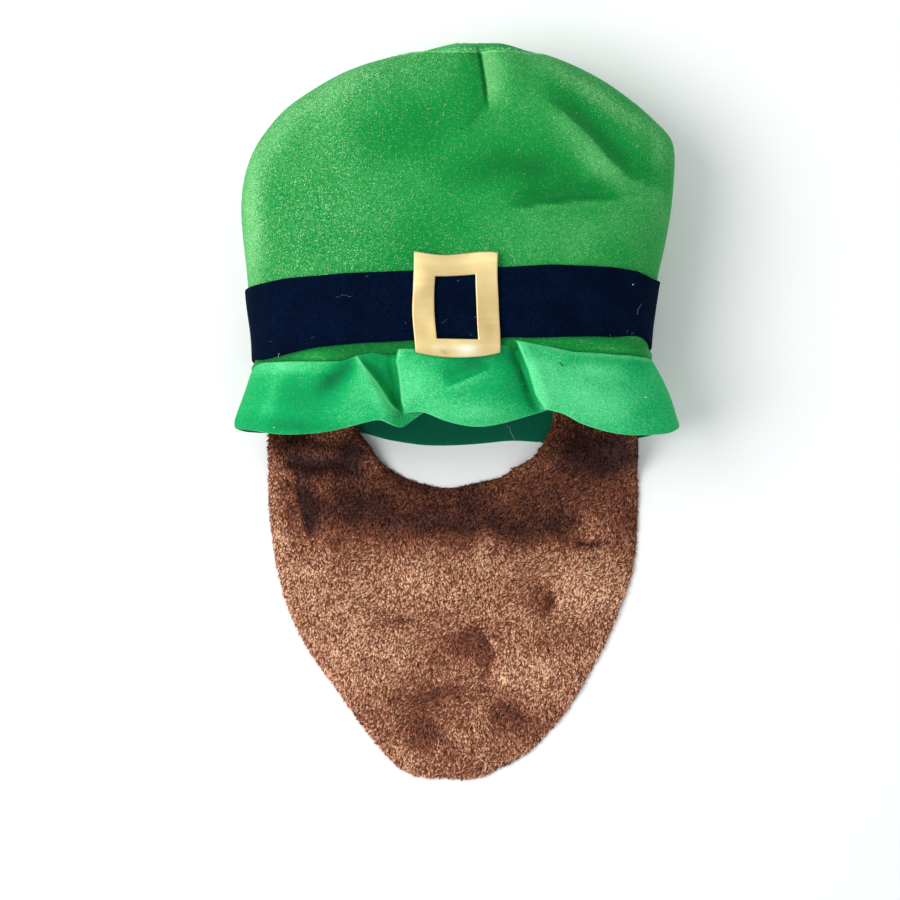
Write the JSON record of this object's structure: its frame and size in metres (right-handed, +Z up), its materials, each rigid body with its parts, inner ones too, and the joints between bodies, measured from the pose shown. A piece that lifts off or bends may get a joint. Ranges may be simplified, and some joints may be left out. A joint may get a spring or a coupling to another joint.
{
  "type": "leprechaun hat",
  "caption": "Costume leprechaun hat in green velour with a dark felt band, gold square buckle, folded brim and a plush beard, lying on its back.",
  "frame": {"origin": "middle of the footprint of the lying hat, on the surface that it rests on", "axes": "+Z up from the surface, +Y from the beard's tip towards the top of the crown, +X to the right as seen from above"},
  "size_m": [0.272, 0.4562, 0.1233],
  "materials": {
    "crown_velour": "short shiny velour pile on thin foam",
    "brim_velour": "short shiny velour pile on thin foam, padded",
    "band_felt": "matt felt",
    "buckle_vinyl": "satin gold-coated vinyl sheet",
    "beard_plush": "short brown plush pile"
  },
  "bodies": {
    "root": {"crown_side": "crown_velour", "crown_top": "crown_velour", "hat_band": "band_felt", "buckle": "buckle_vinyl", "brim": "brim_velour", "beard": "beard_plush"}
  },
  "joints": []
}
